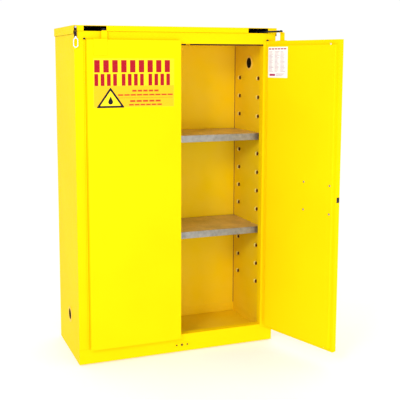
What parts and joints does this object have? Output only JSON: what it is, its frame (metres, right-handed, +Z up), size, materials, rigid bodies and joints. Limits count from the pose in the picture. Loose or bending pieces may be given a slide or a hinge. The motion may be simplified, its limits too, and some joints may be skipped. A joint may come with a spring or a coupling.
{
  "type": "flammable storage cabinet",
  "caption": "Double-walled steel safety cabinet with two self-closing plug doors, paddle latch with rods, lift-out tray shelves, sump, bunged vents and a cap over the closers.",
  "frame": {"origin": "centre of the cabinet body's footprint, on the floor the four feet stand on", "axes": "+Z up; the doors face -Y; +X to the right seen from the front"},
  "size_m": [1.1992, 0.9245, 1.686],
  "materials": {
    "arrester": "dark perforated disc",
    "black_paint": "satin black",
    "black_plastic": "fine texture",
    "cast_zinc": "dull cast metal",
    "dark_tube": "satin blue-black",
    "front_label": null,
    "galvanised": "satin galvanised sheet",
    "inner_label": null,
    "link_metal": "dark oxide",
    "lock_metal": "polished",
    "yellow_powder_coat": "gloss safety-yellow powder coat",
    "zinc": "bright zinc plate",
    "zinc_fastener": "purple-tinted zinc plate"
  },
  "bodies": {
    "cabinet": {"base_front": "yellow_powder_coat", "cap_rails": "galvanised", "closer_studs": "zinc", "door_sill": "yellow_powder_coat", "flame_arresters": "arrester", "foot_nuts": "zinc", "ground_plate": "yellow_powder_coat", "ground_screws": "zinc_fastener", "header": "yellow_powder_coat", "hinge_frame_leaves": "yellow_powder_coat", "hinge_pins": "zinc_fastener", "hold_open_stud": "zinc_fastener", "inner_back": "yellow_powder_coat", "inner_left_side": "yellow_powder_coat", "inner_right_side": "yellow_powder_coat", "inner_top": "yellow_powder_coat", "outer_back": "yellow_powder_coat", "outer_bottom": "yellow_powder_coat", "outer_left_side": "yellow_powder_coat", "outer_right_side": "yellow_powder_coat", "outer_top": "yellow_powder_coat", "stile_left": "yellow_powder_coat", "stile_right": "yellow_powder_coat", "sump_pan": "yellow_powder_coat", "top_cap": "yellow_powder_coat", "vent_bungs": "cast_zinc", "vent_collars": "yellow_powder_coat", "wall_spacers": "galvanised"},
    "right_door": {"right_door_outer": "yellow_powder_coat", "right_door_inner": "yellow_powder_coat", "hinge_leaf_right_door": "yellow_powder_coat", "latch_case": "yellow_powder_coat", "latch_screws": "zinc_fastener", "rod_guides": "black_plastic", "latch_dish": "black_plastic", "arm_bracket_right": "yellow_powder_coat", "inner_label": "inner_label"},
    "left_door": {"left_door_outer": "yellow_powder_coat", "left_door_inner": "yellow_powder_coat", "hinge_leaf_left_door": "yellow_powder_coat", "left_door_strike": "yellow_powder_coat", "arm_bracket_left": "yellow_powder_coat", "front_label": "front_label"},
    "closer_tube_right": {"closer_tube_right": "dark_tube"},
    "closer_rod_right": {"closer_rod_right": "dark_tube"},
    "closer_tube_left": {"closer_tube_left": "dark_tube"},
    "closer_rod_left": {"closer_rod_left": "dark_tube"},
    "paddle": {"paddle": "black_paint"},
    "slam_bolt": {"slam_bolt": "black_paint"},
    "top_rod": {"top_rod": "zinc"},
    "bottom_rod": {"bottom_rod": "zinc"},
    "lock_cylinder": {"lock_cylinder": "lock_metal"},
    "shelf_upper": {"shelf_upper": "galvanised"},
    "shelf_lower": {"shelf_lower": "galvanised"},
    "foot_front_left": {"foot_front_left": "zinc"},
    "foot_front_right": {"foot_front_right": "zinc"},
    "foot_back_left": {"foot_back_left": "zinc"},
    "foot_back_right": {"foot_back_right": "zinc"},
    "fusible_link": {"fusible_link": "link_metal"},
    "hold_open_hook": {"hold_open_hook": "zinc"}
  },
  "joints": [
    {"name": "right_door_hinge", "type": "hinge", "parent": "cabinet", "child": "right_door", "pos_m": [0.4852, -0.2324, 0.085], "axis": [0, 0, 1], "range_deg": [-108, 0]},
    {"name": "left_door_hinge", "type": "hinge", "parent": "cabinet", "child": "left_door", "pos_m": [-0.4852, -0.2324, 0.085], "axis": [0, 0, -1], "range_deg": [0, 108]},
    {"name": "right_closer_swing", "type": "hinge", "parent": "cabinet", "child": "closer_tube_right", "pos_m": [0.3775, -0.04, 1.666], "axis": [0, 0, 1], "range_deg": [-22.13, 0.05]},
    {"name": "right_closer_stroke", "type": "slide", "parent": "closer_tube_right", "child": "closer_rod_right", "axis": [0.4362, -0.8999, 0], "range_m": [-0.1215, 0.0001]},
    {"name": "left_closer_swing", "type": "hinge", "parent": "cabinet", "child": "closer_tube_left", "pos_m": [-0.3775, -0.04, 1.666], "axis": [0, 0, -1], "range_deg": [-0.05, 22.13]},
    {"name": "left_closer_stroke", "type": "slide", "parent": "closer_tube_left", "child": "closer_rod_left", "axis": [-0.0659, -0.9978, 0], "range_m": [-0.0001, 0.1215]},
    {"name": "paddle_pull", "type": "hinge", "parent": "right_door", "child": "paddle", "pos_m": [0.61847, -0.56815, 0.899], "axis": [0.309, -0.9511, 0], "range_deg": [-15, 10]},
    {"name": "slam_bolt_throw", "type": "slide", "parent": "right_door", "child": "slam_bolt", "axis": [-0.309, 0.9511, 0], "range_m": [-0.0101, 0.0068]},
    {"name": "top_rod_throw", "type": "slide", "parent": "right_door", "child": "top_rod", "axis": [0, 0, -1], "range_m": [-0.0101, 0.0068]},
    {"name": "bottom_rod_throw", "type": "slide", "parent": "right_door", "child": "bottom_rod", "axis": [0, 0, 1], "range_m": [-0.0101, 0.0068]},
    {"name": "lock_turn", "type": "hinge", "parent": "right_door", "child": "lock_cylinder", "pos_m": [0.62867, -0.64159, 0.848], "axis": [0.9511, 0.309, 0], "range_deg": [0, 90]},
    {"name": "upper_shelf_lift", "type": "slide", "parent": "cabinet", "child": "shelf_upper", "axis": [0, 0, 1], "range_m": [0, 0.06]},
    {"name": "lower_shelf_lift", "type": "slide", "parent": "cabinet", "child": "shelf_lower", "axis": [0, 0, 1], "range_m": [0, 0.06]},
    {"name": "foot_front_left_adjust", "type": "slide", "parent": "cabinet", "child": "foot_front_left", "axis": [0, 0, -1], "range_m": [0, 0.02]},
    {"name": "foot_front_right_adjust", "type": "slide", "parent": "cabinet", "child": "foot_front_right", "axis": [0, 0, -1], "range_m": [0, 0.02]},
    {"name": "foot_back_left_adjust", "type": "slide", "parent": "cabinet", "child": "foot_back_left", "axis": [0, 0, -1], "range_m": [0, 0.02]},
    {"name": "foot_back_right_adjust", "type": "slide", "parent": "cabinet", "child": "foot_back_right", "axis": [0, 0, -1], "range_m": [0, 0.02]},
    {"name": "link_swing", "type": "hinge", "parent": "cabinet", "child": "fusible_link", "pos_m": [-0.5285, -0.236, 1.676], "axis": [0, 1, 0], "range_deg": [0, 90]},
    {"name": "hook_swing", "type": "hinge", "parent": "fusible_link", "child": "hold_open_hook", "pos_m": [-0.5285, -0.238, 1.628], "axis": [0, 1, 0], "range_deg": [-40, 40]}
  ],
  "couplings": [
    {"joint": "right_closer_swing", "follows": "right_door_hinge", "ratio": 0.20448},
    {"joint": "right_closer_stroke", "follows": "right_door_hinge", "m_per_rad": 0.064404},
    {"joint": "left_closer_swing", "follows": "left_door_hinge", "ratio": 0.20448},
    {"joint": "left_closer_stroke", "follows": "left_door_hinge", "m_per_rad": 0.064404},
    {"joint": "slam_bolt_throw", "follows": "paddle_pull", "m_per_rad": 0.038197},
    {"joint": "top_rod_throw", "follows": "paddle_pull", "m_per_rad": 0.038197},
    {"joint": "bottom_rod_throw", "follows": "paddle_pull", "m_per_rad": 0.038197}
  ]
}
